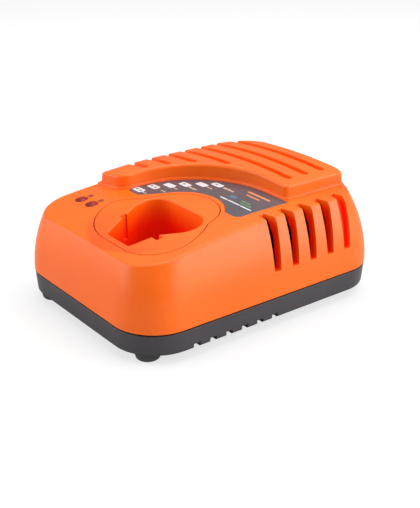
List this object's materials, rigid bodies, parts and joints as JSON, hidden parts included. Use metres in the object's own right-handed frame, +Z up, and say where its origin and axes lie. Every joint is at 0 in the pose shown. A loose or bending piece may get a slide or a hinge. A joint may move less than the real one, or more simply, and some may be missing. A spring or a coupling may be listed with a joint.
{
  "type": "power tool battery charger",
  "caption": "Desktop charger with an upright well for a pod-shaped tool battery, a raised slotted deck, indicator lights and a bare label.",
  "frame": {"origin": "on the surface the charger stands on, under the middle of its case", "axes": "+X to the right seen by the user, -Y towards the user, +Z up; the long side runs along Y"},
  "size_m": [0.1204, 0.16, 0.0662],
  "materials": {
    "orange_shell": "finely textured orange moulding",
    "grey_shell": "finely textured dark grey moulding",
    "label": "smooth printed film",
    "plate": "blank satin film",
    "foot_rubber": "dull rubber",
    "screw_steel": "zinc plated",
    "red_lens": "dark red clear plastic",
    "white_plastic": "ivory plastic",
    "circuit_board": "laminate with green solder resist",
    "black_plastic": "fine satin black",
    "plated_brass": "nickel plated brass",
    "clear_glass": "clear",
    "plated_steel": "tinned",
    "yellow_plastic": "yellow box",
    "ferrite": "dark grey ferrite",
    "winding_copper": "enamelled wire",
    "can_sleeve": "dark blue sleeve",
    "winding_tape": "yellow tape over the winding",
    "sink_aluminium": "extruded, black anodised",
    "resistor_body": "beige lacquer",
    "spring_strip": "nickel plated spring bronze",
    "red_insulation": "insulated wire",
    "yellow_insulation": "insulated wire",
    "black_insulation": "insulated wire"
  },
  "bodies": {
    "housing": {"top_cover": "orange_shell", "battery_well": "orange_shell", "base_tray": "grey_shell", "label_plate": "label", "rating_plate": "plate", "foot_front_left": "foot_rubber", "foot_front_right": "foot_rubber", "foot_rear_left": "foot_rubber", "foot_rear_right": "foot_rubber", "case_screws": "screw_steel", "well_screws": "screw_steel", "board_screws": "screw_steel", "terminal_screws": "screw_steel", "light_pipe_left": "red_lens", "light_pipe_right": "red_lens", "status_lights": "white_plastic", "main_board": "circuit_board", "mains_inlet": "black_plastic", "inlet_pins": "plated_brass", "fuse_tube": "clear_glass", "fuse_caps": "plated_steel", "fuse_clips": "plated_steel", "interference_capacitor": "yellow_plastic", "choke_core": "ferrite", "choke_winding": "winding_copper", "bridge_rectifier": "black_plastic", "bulk_capacitor": "can_sleeve", "output_capacitors": "can_sleeve", "transformer_core": "ferrite", "transformer_bobbin": "white_plastic", "transformer_winding": "winding_tape", "primary_heat_sink": "sink_aluminium", "output_heat_sink": "sink_aluminium", "switching_transistor": "black_plastic", "output_rectifier": "black_plastic", "control_chip": "black_plastic", "opto_coupler": "white_plastic", "chip_legs": "plated_steel", "resistors": "resistor_body", "terminal_block": "black_plastic", "contact_tags": "plated_brass", "output_connector": "white_plastic", "lead_positive": "red_insulation", "lead_sensor": "yellow_insulation", "lead_negative": "black_insulation"},
    "contact_positive": {"contact_positive": "spring_strip"},
    "contact_sensor": {"contact_sensor": "spring_strip"},
    "contact_negative": {"contact_negative": "spring_strip"}
  },
  "joints": [
    {"name": "contact_positive_spring", "type": "hinge", "parent": "housing", "child": "contact_positive", "pos_m": [0.006, -0.0242, 0.0175], "axis": [-1, 0, 0], "range_deg": [0, 12], "stiffness_Nm_per_rad": 0.02, "springref_deg": -2.86},
    {"name": "contact_sensor_spring", "type": "hinge", "parent": "housing", "child": "contact_sensor", "pos_m": [0.0125, -0.0242, 0.0175], "axis": [-1, 0, 0], "range_deg": [0, 12], "stiffness_Nm_per_rad": 0.02, "springref_deg": -2.86},
    {"name": "contact_negative_spring", "type": "hinge", "parent": "housing", "child": "contact_negative", "pos_m": [0.019, -0.0242, 0.0175], "axis": [-1, 0, 0], "range_deg": [0, 12], "stiffness_Nm_per_rad": 0.02, "springref_deg": -2.86}
  ]
}
